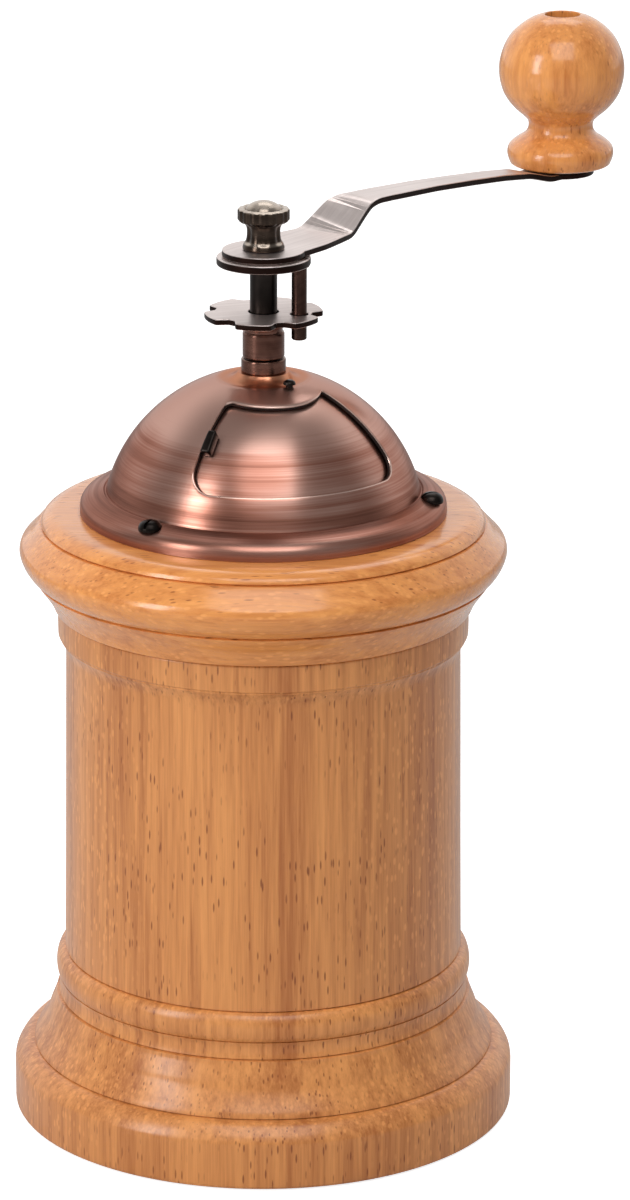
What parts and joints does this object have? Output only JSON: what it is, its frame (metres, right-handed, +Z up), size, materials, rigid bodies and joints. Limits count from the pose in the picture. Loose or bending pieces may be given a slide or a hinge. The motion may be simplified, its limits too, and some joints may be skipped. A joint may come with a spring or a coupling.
{
  "type": "manual coffee grinder",
  "caption": "Hand coffee mill: turned beech column, copper dome hopper with a sliding door, notched grind wheel and a crank with a beech knob.",
  "frame": {"origin": "centre of the underside of the base, on the axis of the spindle", "axes": "+Z up along the spindle; the hopper door faces -Y and a little to +X; the crank lies 52 degrees from +X towards +Y"},
  "size_m": [0.1161, 0.1321, 0.1943],
  "materials": {
    "beech": "turned beech under a thin satin lacquer, upright grain with dark pore flecks",
    "glossy_beech": "turned beech under a glossier, more orange lacquer",
    "copper": "antique copper plate, brushed round, dark brown in the low places",
    "bronze": "dark bronze, worn brighter on its edges",
    "black_steel": "blackened steel",
    "steel": "plain satin steel",
    "ceramic": "off-white ground ceramic",
    "rubber": "matt black rubber",
    "pad": "dark brown pressed felt"
  },
  "bodies": {
    "canister": {"canister_body": "beech", "base_pad": "pad", "neck_ring": "steel"},
    "seal": {"neck_seal": "rubber"},
    "head": {"capital_ring": "glossy_beech", "mill_housing": "steel", "housing_screw_1": "steel", "housing_screw_2": "steel", "housing_screw_3": "steel", "hopper_funnel": "steel", "hopper_dome": "copper", "flange_screw_1": "black_steel", "flange_screw_2": "black_steel", "flange_screw_3": "black_steel", "boss_rivet": "black_steel", "spindle_bush": "bronze", "bush_nut": "steel", "guide_bridge": "steel", "guide_bush": "bronze", "bridge_screw_1": "steel", "bridge_screw_2": "steel", "bridge_screw_3": "steel", "outer_burr": "ceramic", "burr_retainer": "steel", "retainer_screw_1": "steel", "retainer_screw_2": "steel", "retainer_screw_3": "steel"},
    "door": {"hopper_door": "copper", "door_tab": "black_steel"},
    "adjuster": {"adjusting_hub": "bronze", "adjusting_wheel": "copper"},
    "spindle": {"spindle": "black_steel", "stopper_disc": "copper", "stopper_pin": "bronze", "crank_arm": "copper", "knob_pin": "black_steel", "knob_washer": "black_steel", "inner_burr": "ceramic", "burr_washer": "steel", "burr_nut": "steel", "burr_spring": "steel"},
    "thumb_nut": {"thumb_nut": "bronze"},
    "knob": {"knob": "glossy_beech"}
  },
  "joints": [
    {"name": "head_lift", "type": "slide", "parent": "canister", "child": "seal", "axis": [0, 0, 1], "range_m": [0, 0.0091]},
    {"name": "head_turn", "type": "hinge", "parent": "seal", "child": "head", "pos_m": [0, 0, 0.098], "axis": [0, 0, 1], "range_deg": [0, 720]},
    {"name": "door_slide", "type": "hinge", "parent": "head", "child": "door", "pos_m": [0, 0, 0.14], "axis": [0, 0, 1], "range_deg": [0, 86]},
    {"name": "crank_turn", "type": "hinge", "parent": "head", "child": "adjuster", "pos_m": [0, 0, 0.145], "axis": [0, 0, 1], "continuous": true},
    {"name": "grind_setting", "type": "slide", "parent": "adjuster", "child": "spindle", "axis": [0, 0, 1], "range_m": [0, 0.0015], "deforming": ["burr_spring"]},
    {"name": "nut_turn", "type": "hinge", "parent": "spindle", "child": "thumb_nut", "pos_m": [0, 0, 0.165], "axis": [0, 0, 1], "continuous": true},
    {"name": "knob_turn", "type": "hinge", "parent": "spindle", "child": "knob", "pos_m": [0.05689, 0.07281, 0.17], "axis": [0, 0, 1], "continuous": true}
  ],
  "couplings": [
    {"joint": "head_lift", "follows": "head_turn", "m_per_rad": 0.000716}
  ]
}
